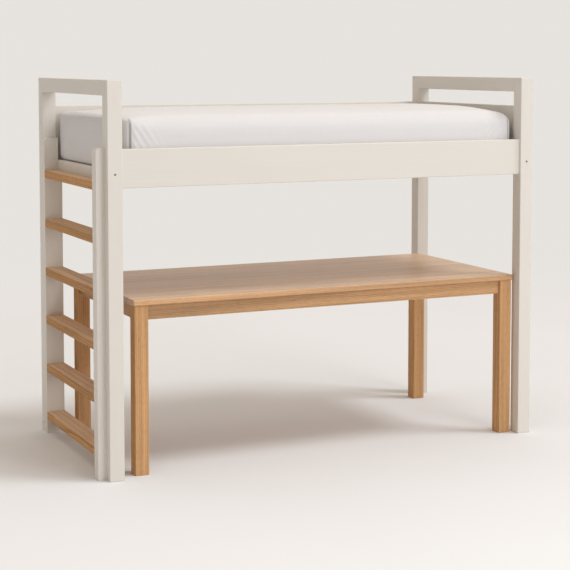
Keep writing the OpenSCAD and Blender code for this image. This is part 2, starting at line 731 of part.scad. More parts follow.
module frame_dowels() color(dowel_wood) {
    side_dowels(dowel_d / 2, dowel_depth);
    head_dowels(dowel_d / 2, dowel_depth);
    top_dowels(dowel_d / 2, dowel_depth);
    stile_dowels(dowel_d / 2, dowel_depth);
    end_rail_dowels(dowel_d / 2, dowel_depth);
}

module rung_dowels() color(dowel_wood)
    for (i = [0:rung_count - 1]) rung_dowel_pair(i, dowel_d / 2, dowel_depth);

module slat_screws() color(steel) for (i = [0:slat_count - 1])
    at_slat_screws(i) wood_screw(slat_thickness + screw_bite - screw_head_height);

module ledge_screws_set() color(steel) both_sides()
    at_ledge_screws() wood_screw(ledge_width + screw_bite - screw_head_height);

module end_rail_screws() color(steel)
    at_end_rail_screws() wood_screw(end_rail_thickness + screw_bite - screw_head_height);

// ---- What is drawn -------------------------------------------------------

post_front_left();
post_rear_left();
post_front_right();
post_rear_right();
top_rail_left();
top_rail_right();
end_rail_left();
head_panel_right();
side_rail_front();
guard_panel_back();
slat_ledge_front();
slat_ledge_back();
slat(0);  // slat_01
slat(1);  // slat_02
slat(2);  // slat_03
slat(3);  // slat_04
slat(4);  // slat_05
slat(5);  // slat_06
slat(6);  // slat_07
slat(7);  // slat_08
slat(8);  // slat_09
slat(9);  // slat_10
slat(10);  // slat_11
slat(11);  // slat_12
slat(12);  // slat_13
slat(13);  // slat_14
ladder_stile_front();
ladder_stile_rear();
rung(0);  // rung_1
rung(1);  // rung_2
rung(2);  // rung_3
rung(3);  // rung_4
rung(4);  // rung_5
rung(5);  // rung_6
mattress();
desk_top();
desk_leg_front_left();
desk_leg_front_right();
desk_leg_rear_left();
desk_leg_rear_right();
desk_apron_front();
desk_apron_back();
desk_apron_left();
desk_apron_right();
desk_corner_blocks();
desk_corner_bolts();
desk_corner_nuts();
desk_top_screws();
desk_dowels();
rail_bolts();
bolt_plugs();
barrel_nuts();
stile_bolts();
stile_inserts();
stile_plug();
frame_dowels();
rung_dowels();
slat_screws();
ledge_screws_set();
end_rail_screws();
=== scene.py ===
import math
import bpy
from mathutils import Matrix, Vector, noise


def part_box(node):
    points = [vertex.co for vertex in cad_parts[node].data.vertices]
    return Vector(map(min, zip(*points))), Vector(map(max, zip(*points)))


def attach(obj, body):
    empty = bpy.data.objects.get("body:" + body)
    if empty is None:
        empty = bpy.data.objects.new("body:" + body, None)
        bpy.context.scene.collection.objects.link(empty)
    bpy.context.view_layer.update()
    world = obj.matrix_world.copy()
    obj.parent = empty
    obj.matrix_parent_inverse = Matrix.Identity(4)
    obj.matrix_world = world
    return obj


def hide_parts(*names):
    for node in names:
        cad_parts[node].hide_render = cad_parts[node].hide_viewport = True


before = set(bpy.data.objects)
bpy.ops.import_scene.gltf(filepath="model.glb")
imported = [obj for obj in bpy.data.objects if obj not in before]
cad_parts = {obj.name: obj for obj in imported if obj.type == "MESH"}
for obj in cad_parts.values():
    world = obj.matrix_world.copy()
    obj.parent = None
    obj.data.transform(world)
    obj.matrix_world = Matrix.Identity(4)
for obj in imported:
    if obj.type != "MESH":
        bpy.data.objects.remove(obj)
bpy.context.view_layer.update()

# ---- Where the picture is taken from ---------------------------------------
# A long lens at a grown person's eye height, well in front of the bed and to the left of it, so that the
# ladder end and the open front both show and the uprights stay upright.
bpy.ops.object.camera_add(location=(-2.940, -6.409, 1.725),
                          rotation=(math.radians(85.90), 0, math.radians(-24.79)))
camera = bpy.context.object
camera.data.lens = 96.6
camera.data.sensor_width = 36
camera.data.shift_y = -0.200
camera.data.clip_end = 100
bpy.context.scene.camera = camera
bpy.context.scene.view_settings.view_transform = "Standard"


# ---- The studio: floor, backdrop colour and lamps ---------------------------
# A pale floor that runs out into a backdrop of the same colour, with a distant lamp high on the right, a
# round softbox lower in front, and a warm surround, brightest overhead, that fills the shade. The backdrop
# is seen by the camera and in the sheen of the wood.
BACKDROP = (0.797, 0.768, 0.731, 1)
world = bpy.data.worlds.new("surround")
bpy.context.scene.world = world
world.use_nodes = True
wn = world.node_tree.nodes
wl = world.node_tree.links
wn.clear()
rays = wn.new("ShaderNodeLightPath")
direction = wn.new("ShaderNodeTexCoord")
upward = wn.new("ShaderNodeSeparateXYZ")
wl.new(direction.outputs["Generated"], upward.inputs[0])
overhead = wn.new("ShaderNodeMapRange")
overhead.inputs["To Min"].default_value = 0.12
overhead.inputs["To Max"].default_value = 1.08
wl.new(upward.outputs["Z"], overhead.inputs["Value"])
fill_light = wn.new("ShaderNodeBackground")
fill_light.inputs["Color"].default_value = (1.0, 0.885, 0.775, 1)
wl.new(overhead.outputs["Result"], fill_light.inputs["Strength"])
backdrop = wn.new("ShaderNodeBackground")
backdrop.inputs["Color"].default_value = BACKDROP
either = wn.new("ShaderNodeMixShader")
world_out = wn.new("ShaderNodeOutputWorld")
BACKDROP_IN_SHEEN = 0.85
mirrored = wn.new("ShaderNodeMath")
mirrored.operation = "MULTIPLY_ADD"
mirrored.use_clamp = True
mirrored.inputs[1].default_value = BACKDROP_IN_SHEEN
wl.new(rays.outputs["Is Glossy Ray"], mirrored.inputs[0])
wl.new(rays.outputs["Is Camera Ray"], mirrored.inputs[2])
wl.new(mirrored.outputs[0], either.inputs[0])
wl.new(fill_light.outputs[0], either.inputs[1])
wl.new(backdrop.outputs[0], either.inputs[2])
wl.new(either.outputs[0], world_out.inputs[0])

bpy.ops.object.select_all(action="DESELECT")
FLOOR_RADIUS = 14
bpy.ops.mesh.primitive_circle_add(vertices=96, radius=FLOOR_RADIUS, fill_type="NGON", location=(0, 0, 0))
floor = bpy.context.object
floor.name = "floor"
floor_paint = bpy.data.materials.new("studio_floor")
floor_paint.use_nodes = True
fn = floor_paint.node_tree.nodes
fl = floor_paint.node_tree.links
fn.clear()
place = fn.new("ShaderNodeTexCoord")
reach = fn.new("ShaderNodeVectorMath")
reach.operation = "LENGTH"
fl.new(place.outputs["Object"], reach.inputs[0])
fade = fn.new("ShaderNodeMapRange")
fade.interpolation_type = "SMOOTHSTEP"
fade.inputs["From Min"].default_value = 2.4
fade.inputs["From Max"].default_value = 7.5
fl.new(reach.outputs["Value"], fade.inputs["Value"])
cloud = fn.new("ShaderNodeTexNoise")
cloud.inputs["Scale"].default_value = 0.9
cloud.inputs["Detail"].default_value = 3
fl.new(place.outputs["Object"], cloud.inputs["Vector"])
tint = fn.new("ShaderNodeMix")
tint.data_type = "RGBA"
tint.inputs["A"].default_value = (0.738, 0.757, 0.780, 1)
tint.inputs["B"].default_value = (0.770, 0.789, 0.812, 1)
fl.new(cloud.outputs["Fac"], tint.inputs["Factor"])
matt = fn.new("ShaderNodeBsdfDiffuse")
fl.new(tint.outputs["Result"], matt.inputs["Color"])
glow = fn.new("ShaderNodeEmission")
glow.inputs["Color"].default_value = BACKDROP
floor_rays = fn.new("ShaderNodeLightPath")
only_seen = fn.new("ShaderNodeMath")
only_seen.operation = "MULTIPLY"
fl.new(fade.outputs["Result"], only_seen.inputs[0])
fl.new(floor_rays.outputs["Is Camera Ray"], only_seen.inputs[1])
run_out = fn.new("ShaderNodeMixShader")
fl.new(only_seen.outputs[0], run_out.inputs[0])
fl.new(matt.outputs[0], run_out.inputs[1])
fl.new(glow.outputs[0], run_out.inputs[2])
floor_out = fn.new("ShaderNodeOutputMaterial")
fl.new(run_out.outputs[0], floor_out.inputs[0])
floor.data.materials.append(floor_paint)


def add_lamp(kind, name, place, aim, colour):
    bpy.ops.object.select_all(action="DESELECT")
    bpy.ops.object.light_add(type=kind, location=place)
    lamp = bpy.context.object
    lamp.name = name
    lamp.data.color = colour
    lamp.rotation_euler = (Vector(aim) - Vector(place)).to_track_quat("-Z", "Y").to_euler()
    return lamp.data


key_lamp = add_lamp("SUN", "key_lamp", place=(3.4, -2.0, 6.8), aim=(0, 0, 0.8), colour=(0.965, 0.982, 1.0))
key_lamp.energy = 1.18
key_lamp.angle = math.radians(18)
front_lamp = add_lamp("AREA", "front_lamp", place=(1.6, -5.8, 3.0), aim=(0.2, 0, 0.8),
                      colour=(0.945, 0.972, 1.0))
front_lamp.energy = 110
front_lamp.shape = "DISK"
front_lamp.size = 3.2


# ---- Posts, rails and panels -------------------------------------------------
# Solid timber, planed square and eased along the edges, rollered in a warm stone satin paint, like the plugs
# over the side bolts. The long grain shows faintly through it and the roller leaves a very fine skin.
def grain_axes(tree, axis, shift):
    """Object coordinates with the grain laid along X, moved so that no two boards match."""
    nodes, links = tree.nodes, tree.links
    at = nodes.new("ShaderNodeTexCoord")
    split = nodes.new("ShaderNodeSeparateXYZ")
    turned = nodes.new("ShaderNodeCombineXYZ")
    order = {"X": "XYZ", "Y": "YXZ", "Z": "ZXY"}[axis]
    links.new(at.outputs["Object"], split.inputs[0])
    for slot_name, source in zip("XYZ", order):
        links.new(split.outputs[source], turned.inputs[slot_name])
    moved = nodes.new("ShaderNodeMapping")
    moved.inputs["Location"].default_value = shift
    links.new(turned.outputs[0], moved.inputs["Vector"])
    return at, moved.outputs["Vector"]


def stretched(tree, vector, scale, texture, **settings):
    """A texture read from the same place with its own stretch along and across the grain."""
    spread = tree.nodes.new("ShaderNodeMapping")
    spread.inputs["Scale"].default_value = scale
    tree.links.new(vector, spread.inputs["Vector"])
    tex = tree.nodes.new(texture)
    for key, value in settings.items():
        tex.inputs[key].default_value = value
    tree.links.new(spread.outputs["Vector"], tex.inputs["Vector"])
    return tex


def ranged(tree, source, to_min, to_max, from_min=0.0, from_max=1.0):
    """A value moved from one range to another, and held inside it."""
    node = tree.nodes.new("ShaderNodeMapRange")
    node.inputs["From Min"].default_value = from_min
    node.inputs["From Max"].default_value = from_max
    node.inputs["To Min"].default_value = to_min
    node.inputs["To Max"].default_value = to_max
    tree.links.new(source, node.inputs["Value"])
    return node.outputs["Result"]


def mixed(tree, factor, a, b, blend="MIX"):
    """Two colours mixed by a factor. Each of the three is a fixed value or comes out of another node."""
    node = tree.nodes.new("ShaderNodeMix")
    node.data_type = "RGBA"
    node.blend_type = blend
    for key, value in (("Factor", factor), ("A", a), ("B", b)):
        if isinstance(value, bpy.types.NodeSocket):
            tree.links.new(value, node.inputs[key])
        else:
            node.inputs[key].default_value = value
    return node.outputs["Result"]


def raised(tree, height, strength, distance, over=None):
    """A bump of a given height, laid over another one."""
    node = tree.nodes.new("ShaderNodeBump")
    node.inputs["Strength"].default_value = strength
    node.inputs["Distance"].default_value = distance
    tree.links.new(height, node.inputs["Height"])
    if over is not None:
        tree.links.new(over, node.inputs["Normal"])
    return node.outputs["Normal"]


def painted_wood(name, axis, shift=(0, 0, 0)):
    paint = bpy.data.materials.new(name)
    paint.use_nodes = True
    tree = paint.node_tree
    links = tree.links
    skin = tree.nodes["Principled BSDF"]
    _, along = grain_axes(tree, axis, shift)
    patch = stretched(tree, along, (1.2, 3.0, 3.0), "ShaderNodeTexNoise", Scale=1.4, Detail=3.0)
    fibre = stretched(tree, along, (3.0, 150.0, 150.0), "ShaderNodeTexNoise",
                      Scale=1.0, Detail=5.0, Roughness=0.62)
    roller = stretched(tree, along, (1.0, 1.0, 1.0), "ShaderNodeTexNoise", Scale=700.0, Detail=2.0)
    shade = mixed(tree, patch.outputs["Fac"], (0.742, 0.709, 0.655, 1), (0.778, 0.747, 0.693, 1))
    fine = mixed(tree, 0.06, shade, fibre.outputs["Fac"], "MULTIPLY")
    links.new(fine, skin.inputs["Base Color"])
    links.new(ranged(tree, fibre.outputs["Fac"], 0.40, 0.52), skin.inputs["Roughness"])
    skin.inputs["Specular IOR Level"].default_value = 0.42
    grain_lift = raised(tree, fibre.outputs["Fac"], 0.22, 0.0005)
    links.new(raised(tree, roller.outputs["Fac"], 0.14, 0.0003, grain_lift), skin.inputs["Normal"])
    return paint


def finish_node(name, material):
    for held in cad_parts[name].material_slots:
        held.material = material


for k, post in enumerate(("post_front_left", "post_rear_left", "post_front_right", "post_rear_right")):
    finish_node(post, painted_wood("paint_" + post, "Z", (0.7 * k, 0.31 * k, 0.17 * k)))
for k, cross in enumerate(("top_rail_left", "top_rail_right", "end_rail_left", "head_panel_right")):
    finish_node(cross, painted_wood("paint_" + cross, "Y", (1.3 + 0.6 * k, 0.23 * k, 0.41 * k)))
for k, side in enumerate(("side_rail_front", "guard_panel_back", "bolt_plugs")):
    finish_node(side, painted_wood("paint_" + side, "X", (0.9 * k, 0.5 * k, 0.3 * k)))


# ---- Ladder ------------------------------------------------------------------
# Two painted stiles bolted and dowelled to the inner faces of the left posts, the front one rebated round
# its post as a grab handle, and deep oak treads dowelled between them. The treads are oiled and show grain.
for k, stile in enumerate(("ladder_stile_front", "ladder_stile_rear", "stile_plug")):
    finish_node(stile, painted_wood("paint_" + stile, "Z", (2.1 + 0.4 * k, 0.6 + 0.2 * k, 0.9)))


def oiled_oak(name, axis, shift, light=1.0, stave=0.0, sheen=0.5, painted_top_light=0.0):
    """Oak with growth rings about the grain, dark open pores, and staves where a board is glued up.
    Level faces can be painted paler than upright ones: painted top light and sheen."""
    oak = bpy.data.materials.new(name)
    oak.use_nodes = True
    tree = oak.node_tree
    nodes, links = tree.nodes, tree.links
    skin = nodes["Principled BSDF"]
    at, along = grain_axes(tree, axis, shift)
    glue = None
    if stave:
        split = nodes.new("ShaderNodeSeparateXYZ")
        links.new(along, split.inputs[0])
        count = nodes.new("ShaderNodeMath")
        count.operation = "DIVIDE"
        count.inputs[1].default_value = stave
        links.new(split.outputs["Y"], count.inputs[0])
        number = nodes.new("ShaderNodeMath")
        number.operation = "FLOOR"
        links.new(count.outputs[0], number.inputs[0])
        lot = nodes.new("ShaderNodeTexWhiteNoise")
        lot.noise_dimensions = "1D"
        links.new(number.outputs[0], lot.inputs["W"])
        apart = nodes.new("ShaderNodeVectorMath")
        apart.operation = "MULTIPLY_ADD"
        apart.inputs[1].default_value = (3.0, 0.10, 0.22)
        links.new(lot.outputs["Color"], apart.inputs[0])
        links.new(along, apart.inputs[2])
        along = apart.outputs[0]
        part = nodes.new("ShaderNodeMath")
        part.operation = "PINGPONG"
        part.inputs[1].default_value = 0.5
        links.new(count.outputs[0], part.inputs[0])
        glue = ranged(tree, part.outputs[0], 0.84, 1.0, 0.0, 0.006)
    sway = stretched(tree, along, (0.55, 4.0, 4.0), "ShaderNodeTexNoise", Scale=1.0, Detail=2.0)
    bent = nodes.new("ShaderNodeVectorMath")
    bent.operation = "MULTIPLY_ADD"
    bent.inputs[1].default_value = (0.0, 0.045, 0.045)
    links.new(sway.outputs["Color"], bent.inputs[0])
    links.new(along, bent.inputs[2])
    rings = nodes.new("ShaderNodeTexWave")
    rings.wave_type = "RINGS"
    rings.rings_direction = "X"
    rings.wave_profile = "SAW"
    rings.inputs["Scale"].default_value = 46.0
    rings.inputs["Distortion"].default_value = 1.6
    rings.inputs["Detail"].default_value = 2.5
    rings.inputs["Detail Scale"].default_value = 0.6
    flat = nodes.new("ShaderNodeMapping")
    flat.inputs["Scale"].default_value = (0.08, 1.0, 1.0)
    links.new(bent.outputs[0], flat.inputs["Vector"])
    links.new(flat.outputs["Vector"], rings.inputs["Vector"])
    ramp = nodes.new("ShaderNodeValToRGB")
    ramp.color_ramp.elements[0].position = 0.0
    ramp.color_ramp.elements[0].color = (0.440, 0.236, 0.098, 1)
    ramp.color_ramp.elements[1].position = 1.0
    ramp.color_ramp.elements[1].color = (0.610, 0.366, 0.190, 1)
    middle = ramp.color_ramp.elements.new(0.35)
    middle.color = (0.566, 0.328, 0.164, 1)
    links.new(rings.outputs["Fac"], ramp.inputs["Fac"])
    streak = stretched(tree, along, (1.1, 42.0, 42.0), "ShaderNodeTexNoise",
                       Scale=1.0, Detail=6.0, Roughness=0.6)
    drift = stretched(tree, along, (0.5, 5.0, 5.0), "ShaderNodeTexNoise", Scale=1.0, Detail=2.0)
    pore = stretched(tree, along, (34.0, 900.0, 900.0), "ShaderNodeTexNoise", Scale=1.0, Detail=2.0)
    tone = ranged(tree, streak.outputs["Fac"], 0.80 * light, 1.17 * light, 0.33, 0.67)
    slow = ranged(tree, drift.outputs["Fac"], 0.91, 1.09, 0.3, 0.7)
    holes = ranged(tree, pore.outputs["Fac"], 0.70, 1.0, 0.34, 0.44)
    facing = nodes.new("ShaderNodeSeparateXYZ")
    links.new(at.outputs["Normal"], facing.inputs[0])
    cut = nodes.new("ShaderNodeMath")
    cut.operation = "ABSOLUTE"
    links.new(facing.outputs[axis], cut.inputs[0])
    end_grain = ranged(tree, cut.outputs[0], 1.0, 0.80, 0.6, 0.9)
    # Painted light: level faces are mixed towards a paler tone, standing in for the light and sheen on top
    # faces.
    painted_top_light_mask = ranged(tree, facing.outputs["Z"], 0.0, painted_top_light, 0.6, 0.9)
    value = tone
    for other in (slow, holes, end_grain, glue):
        if other is not None:
            times = nodes.new("ShaderNodeMath")
            times.operation = "MULTIPLY"
            links.new(value, times.inputs[0])
            links.new(other, times.inputs[1])
            value = times.outputs[0]
    lit = nodes.new("ShaderNodeVectorMath")
    lit.operation = "SCALE"
    links.new(ramp.outputs["Color"], lit.inputs[0])
    links.new(value, lit.inputs["Scale"])
    pale = nodes.new("ShaderNodeVectorMath")
    pale.operation = "SCALE"
    pale.inputs[0].default_value = (0.72, 0.56, 0.42)
    links.new(value, pale.inputs["Scale"])
    with_painted_top_light = mixed(tree, painted_top_light_mask, lit.outputs[0], pale.outputs[0])
    links.new(with_painted_top_light, skin.inputs["Base Color"])
    gloss = ranged(tree, streak.outputs["Fac"], 0.62 - 0.4 * sheen, 0.52 - 0.4 * sheen)
    links.new(gloss, skin.inputs["Roughness"])
    skin.inputs["Specular IOR Level"].default_value = sheen
    links.new(raised(tree, holes, 0.30, 0.0004), skin.inputs["Normal"])
    return oak


RUNG_COUNT = 6
for k in range(1, RUNG_COUNT + 1):
    shift = (0.37 * k, 0.020 * k + 0.16, 0.013 * k)
    # Painted light: the level tops of the treads are painted paler, standing in for top light and sheen.
    finish_node("rung_%d" % k, oiled_oak("oak_tread_%d" % k, "Y", shift, sheen=0.0, painted_top_light=0.65))


# ---- Slatted base --------------------------------------------------------------
# Planed pine slats laid across two pine ledges that are screwed to the rails. They stay bare, with
# straight grain, a few small knots and a dry, matt face.
def bare_pine(name, axis, shift):
    pine = bpy.data.materials.new(name)
    pine.use_nodes = True
    tree = pine.node_tree
    nodes, links = tree.nodes, tree.links
    skin = nodes["Principled BSDF"]
    _, along = grain_axes(tree, axis, shift)
    knot = stretched(tree, along, (1.6, 9.0, 9.0), "ShaderNodeTexVoronoi", Scale=1.0)
    eye = ranged(tree, knot.outputs["Distance"], 1.0, 0.0, 0.03, 0.13)
    rings = stretched(tree, along, (0.10, 1.0, 1.0), "ShaderNodeTexWave",
                      Scale=38.0, Distortion=2.2, Detail=2.0)
    rings.wave_type = "RINGS"
    rings.rings_direction = "X"
    ramp = nodes.new("ShaderNodeValToRGB")
    ramp.color_ramp.elements[0].position = 0.15
    ramp.color_ramp.elements[0].color = (0.800, 0.640, 0.440, 1)
    ramp.color_ramp.elements[1].position = 0.95
    ramp.color_ramp.elements[1].color = (0.690, 0.490, 0.290, 1)
    links.new(rings.outputs["Fac"], ramp.inputs["Fac"])
    streak = stretched(tree, along, (2.0, 90.0, 90.0), "ShaderNodeTexNoise", Scale=1.0, Detail=4.0)
    tone = mixed(tree, 0.25, ramp.outputs["Color"], streak.outputs["Fac"], "MULTIPLY")
    links.new(mixed(tree, eye, tone, (0.300, 0.140, 0.055, 1)), skin.inputs["Base Color"])
    skin.inputs["Roughness"].default_value = 0.66
    links.new(raised(tree, streak.outputs["Fac"], 0.25, 0.0004), skin.inputs["Normal"])
    return pine


SLAT_COUNT = 14
for k in range(1, SLAT_COUNT + 1):
    shift = (0.53 * k, 0.031 * k + 0.1, 0.047 * k)
    finish_node("slat_%02d" % k, bare_pine("pine_slat_%02d" % k, "Y", shift))
for k, ledge in enumerate(("slat_ledge_front", "slat_ledge_back")):
    finish_node(ledge, bare_pine("pine_" + ledge, "X", (0.4 * k, 0.12 + 0.2 * k, 0.3)))


# ---- Mattress ------------------------------------------------------------------
# A foam and spring block in a woven ticking, soft at its top edges, that lies loose on the slats. The
# fitted sheet hides all of it but the underside, which shows between the slats from below.
bed_low, bed_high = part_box("mattress")
HEAD_PUSH = 0.0045
MIDDLE = (bed_low + bed_high) / 2 + Vector((HEAD_PUSH, 0, 0))
HALF = (bed_high - bed_low) / 2
CROWN = 0.026
WALL_X = HALF.x - 0.003
WALL_Y = HALF.y - 0.0035
TOP = HALF.z - 0.011
BOTTOM = -HALF.z + 0.002
CORNER_DROOP = 0.012
BULGE = 0.002
LOWER_RADIUS = 0.022
# By the signs of X and Y: how far each corner reaches along X and along Y, and the power of its curve
CORNER_FORMS = {(-1, -1): (1.0, 1.0, 1.35), (-1, 1): (0.6, 0.4, 2.0),
                (1, -1): (1.15, 0.62, 2.0), (1, 1): (1.15, 0.62, 2.0)}
# Radius of the top edge at the ladder end, along the sides and at the head, and the width of each zone
LEFT_RADIUS, SIDE_RADIUS, RIGHT_RADIUS = 0.024, 0.060, 0.050
LEFT_ZONE, SIDE_ZONE, RIGHT_ZONE = 0.14, 0.14, 0.20


def disc(u, v, power=2.0):
    """Moves a point of a square corner onto the quarter disc in it, which is flatter for a lower power."""
    far = max(abs(u), abs(v))
    length = (abs(u) ** power + abs(v) ** power) ** (1 / power)
    return (u * far / length, v * far / length) if length > 1e-9 else (0.0, 0.0)


def at_corner(x, y, reach):
    """From 0 away from the corners to 1 at them."""
    return math.exp(-(((WALL_X - abs(x)) / reach) ** 2 + ((WALL_Y - abs(y)) / reach) ** 2))


def corner_form(x, y, corner):
    """How far a corner reaches along X and Y, and the power of its curve in plan, which is 2 for an ellipse."""
    along_x, along_y, power = CORNER_FORMS[(1 if x > 0 else -1, 1 if y > 0 else -1)]
    return corner[0] * along_x, corner[1] * along_y, power


def shoulder_radius(x, y):
    """The top edge is tight at the ladder end and its corners, and soft along the sides and at the head."""
    side = min(max((abs(y) - WALL_Y + SIDE_ZONE) / SIDE_ZONE, 0), 1) + 1e-6
    left = min(max((-x - WALL_X + LEFT_ZONE) / LEFT_ZONE, 0), 1)
    right = min(max((x - WALL_X + RIGHT_ZONE) / RIGHT_ZONE, 0), 1)
    radius = (SIDE_RADIUS * side + LEFT_RADIUS * left + RIGHT_RADIUS * right) / (side + left + right)
    return radius * (1 - (0.62 if x < 0 else 0.25) * at_corner(x, y, 0.07))


def mattress_point(x, y, z, corner, proud):
    """Takes a point of the plain block to the soft form, standing proud of it by a given amount."""
    a, b, power = corner_form(x, y, corner)
    cx, cy = WALL_X - a, WALL_Y - b
    if abs(x) > cx and abs(y) > cy:
        u, v = disc((abs(x) - cx) / a, (abs(y) - cy) / b, power)
        out = Vector((math.copysign(max(u, 1e-6) ** (power - 1) / a, x),
                      math.copysign(max(v, 1e-6) ** (power - 1) / b, y), 0))
        full = (u ** power + v ** power) ** (1 / power)
        inward = (1 - full) * full ** (power - 1) / out.length
        x, y = math.copysign(cx + u * a, x), math.copysign(cy + v * b, y)
    elif WALL_X - abs(x) < WALL_Y - abs(y):
        inward, out = WALL_X - abs(x), Vector((math.copysign(1, x), 0, 0))
    else:
        inward, out = WALL_Y - abs(y), Vector((0, math.copysign(1, y), 0))
    out.normalize()
    normal = out
    lift = min(max((z - BOTTOM) / (TOP - BOTTOM), 0), 1)
    away = min(math.hypot((WALL_X - abs(x)) / 0.20, (WALL_Y - abs(y)) / 0.38), 1)
    droop = lift * (CORNER_DROOP if x > 0 and y < 0 else 0.2 * CORNER_DROOP) * (1 - away) ** 1.6
    for level, radius, up in ((TOP, shoulder_radius(x, y), 1), (BOTTOM, LOWER_RADIUS, -1)):
        rise = radius - abs(level - z)
        if rise > 1e-9:
            if inward < radius:
                u, v = disc(radius - inward, rise)
                x -= out.x * (radius - inward - u)
                y -= out.y * (radius - inward - u)
                z = level - up * (radius - v)
                normal = out * u + Vector((0, 0, up * v))
            elif rise > radius - 1e-6:
                normal = Vector((0, 0, up))
    normal.normalize()
    crown = CROWN * max(1 - abs(x / WALL_X) ** (6 if x < 0 else 14), 0) * (1 - abs(y / HALF.y) ** 3) * lift ** 3
    bulge = BULGE * math.sin(math.pi * lift) * math.hypot(normal.x, normal.y)
    return Vector((x, y, z + crown - droop)) + normal * (proud + bulge) + MIDDLE


def soft_block(name, step, turned_under, closer):
    """A grid for the top, closer at its rim, whose rim runs down the walls and is closed or turned under."""
    across, deep = round(2 * WALL_X / step), round(2 * WALL_Y / step)
    high = round((TOP - BOTTOM) / step)
    bpy.ops.object.select_all(action="DESELECT")
    bpy.ops.mesh.primitive_grid_add(x_subdivisions=across, y_subdivisions=deep, size=2)
    made = bpy.context.object
    made.name = name
    bpy.ops.object.mode_set(mode="EDIT")
    bpy.ops.mesh.select_all(action="SELECT")
    bpy.ops.transform.resize(value=(WALL_X, WALL_Y, 1))
    bpy.ops.transform.translate(value=(0, 0, TOP))
    if not turned_under:
        bpy.ops.mesh.duplicate()
        bpy.ops.transform.translate(value=(0, 0, BOTTOM - TOP))
        bpy.ops.mesh.flip_normals()
    bpy.ops.mesh.select_all(action="DESELECT")
    bpy.ops.mesh.select_mode(type="EDGE")
    bpy.ops.object.mode_set(mode="OBJECT")
    points = made.data.vertices
    for e in made.data.edges:
        a, b = (points[i].co for i in e.vertices)
        on_end = min(abs(a.x), abs(b.x)) > WALL_X - 1e-5
        on_side = min(abs(a.y), abs(b.y)) > WALL_Y - 1e-5
        e.select = a.z > 0 and (on_end or on_side)
    bpy.ops.object.mode_set(mode="EDIT")
    for k in range(high):
        bpy.ops.mesh.extrude_region_move(TRANSFORM_OT_translate={"value": (0, 0, (BOTTOM - TOP) / high)})
    for k in range(turned_under):
        bpy.ops.mesh.extrude_region_move()
        bpy.ops.transform.resize(value=((WALL_X - 2 * step * (k + 1)) / (WALL_X - 2 * step * k),
                                        (WALL_Y - 2 * step * (k + 1)) / (WALL_Y - 2 * step * k), 1))
    bpy.ops.mesh.select_all(action="SELECT")
    bpy.ops.mesh.remove_doubles(threshold=0.0003)
    bpy.ops.mesh.normals_make_consistent(inside=False)
    bpy.ops.object.mode_set(mode="OBJECT")
    for v in points:
        v.co.x *= 1 + closer * (1 - (v.co.x / WALL_X) ** 2)
        v.co.y *= 1 + closer * (1 - (v.co.y / WALL_Y) ** 2)
    return made


def woven_cloth(name, colour, weave, strength, rough, quilt=0.0):
    """Plain weave: threads run along all three axes, so every face shows two sets of them."""
    cloth = bpy.data.materials.new(name)
    cloth.use_nodes = True
    tree = cloth.node_tree
    nodes, links = tree.nodes, tree.links
    skin = nodes["Principled BSDF"]
    at = nodes.new("ShaderNodeTexCoord")
    height = None
    for direction in "XYZ":
        thread = nodes.new("ShaderNodeTexWave")
        thread.wave_type = "BANDS"
        thread.bands_direction = direction
        thread.inputs["Scale"].default_value = math.pi / (10 * weave)
        thread.inputs["Distortion"].default_value = 0.35
        thread.inputs["Detail"].default_value = 1.0
        thread.inputs["Detail Scale"].default_value = 40.0
        links.new(at.outputs["Object"], thread.inputs["Vector"])
        if height is None:
            height = thread.outputs["Fac"]
        else:
            both = nodes.new("ShaderNodeMath")
            both.operation = "ADD"
            links.new(height, both.inputs[0])
            links.new(thread.outputs["Fac"], both.inputs[1])
            height = both.outputs[0]
    slub = nodes.new("ShaderNodeTexNoise")
    slub.inputs["Scale"].default_value = 5.0
    slub.inputs["Detail"].default_value = 5.0
    links.new(at.outputs["Object"], slub.inputs["Vector"])
    thinner = (colour[0] * 0.965, colour[1] * 0.965, colour[2] * 0.970, 1)
    dye = mixed(tree, slub.outputs["Fac"], thinner, (*colour, 1))
    # Painted shade: the seam attribute darkens the colour in the groove of the corner seams, where shade falls.
    seam = nodes.new("ShaderNodeAttribute")
    seam.attribute_name = "seam"
    links.new(mixed(tree, seam.outputs["Fac"], dye, (0.230, 0.215, 0.200, 1)), skin.inputs["Base Color"])
    skin.inputs["Roughness"].default_value = rough
    skin.inputs["Specular IOR Level"].default_value = 0.25
    skin.inputs["Sheen Weight"].default_value = 0.12
    skin.inputs["Sheen Roughness"].default_value = 0.5
    crease = nodes.new("ShaderNodeTexNoise")
    crease.inputs["Scale"].default_value = 26.0
    crease.inputs["Detail"].default_value = 4.0
    crease.inputs["Distortion"].default_value = 0.8
    links.new(at.outputs["Object"], crease.inputs["Vector"])
    soft = raised(tree, crease.outputs["Fac"], 0.18, 0.004)
    last = raised(tree, height, strength, 0.0003, soft)
    if quilt:
        tufts = nodes.new("ShaderNodeTexVoronoi")
        tufts.distance = "CHEBYCHEV"
        tufts.inputs["Scale"].default_value = 1 / quilt
        tufts.inputs["Randomness"].default_value = 0.0
        turned = nodes.new("ShaderNodeMapping")
        turned.inputs["Rotation"].default_value = (0, 0, math.radians(45))
        links.new(at.outputs["Object"], turned.inputs["Vector"])
        links.new(turned.outputs["Vector"], tufts.inputs["Vector"])
        last = raised(tree, tufts.outputs["Distance"], 0.6, 0.008, last)
        last.node.invert = True
    links.new(last, skin.inputs["Normal"])
    return cloth


BLOCK_CORNER = (0.046, 0.092)
BLOCK_STEP = 0.022
block = soft_block("mattress_block", BLOCK_STEP, turned_under=0, closer=0.0)
for v in block.data.vertices:
    v.co = mattress_point(*v.co, BLOCK_CORNER, 0.0)
ticking = woven_cloth("quilted_ticking", (0.80, 0.79, 0.77), weave=0.0011, strength=0.5, rough=0.8, quilt=0.09)
block.data.materials.append(ticking)
bpy.ops.object.shade_smooth()
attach(block, "mattress")
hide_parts("mattress")
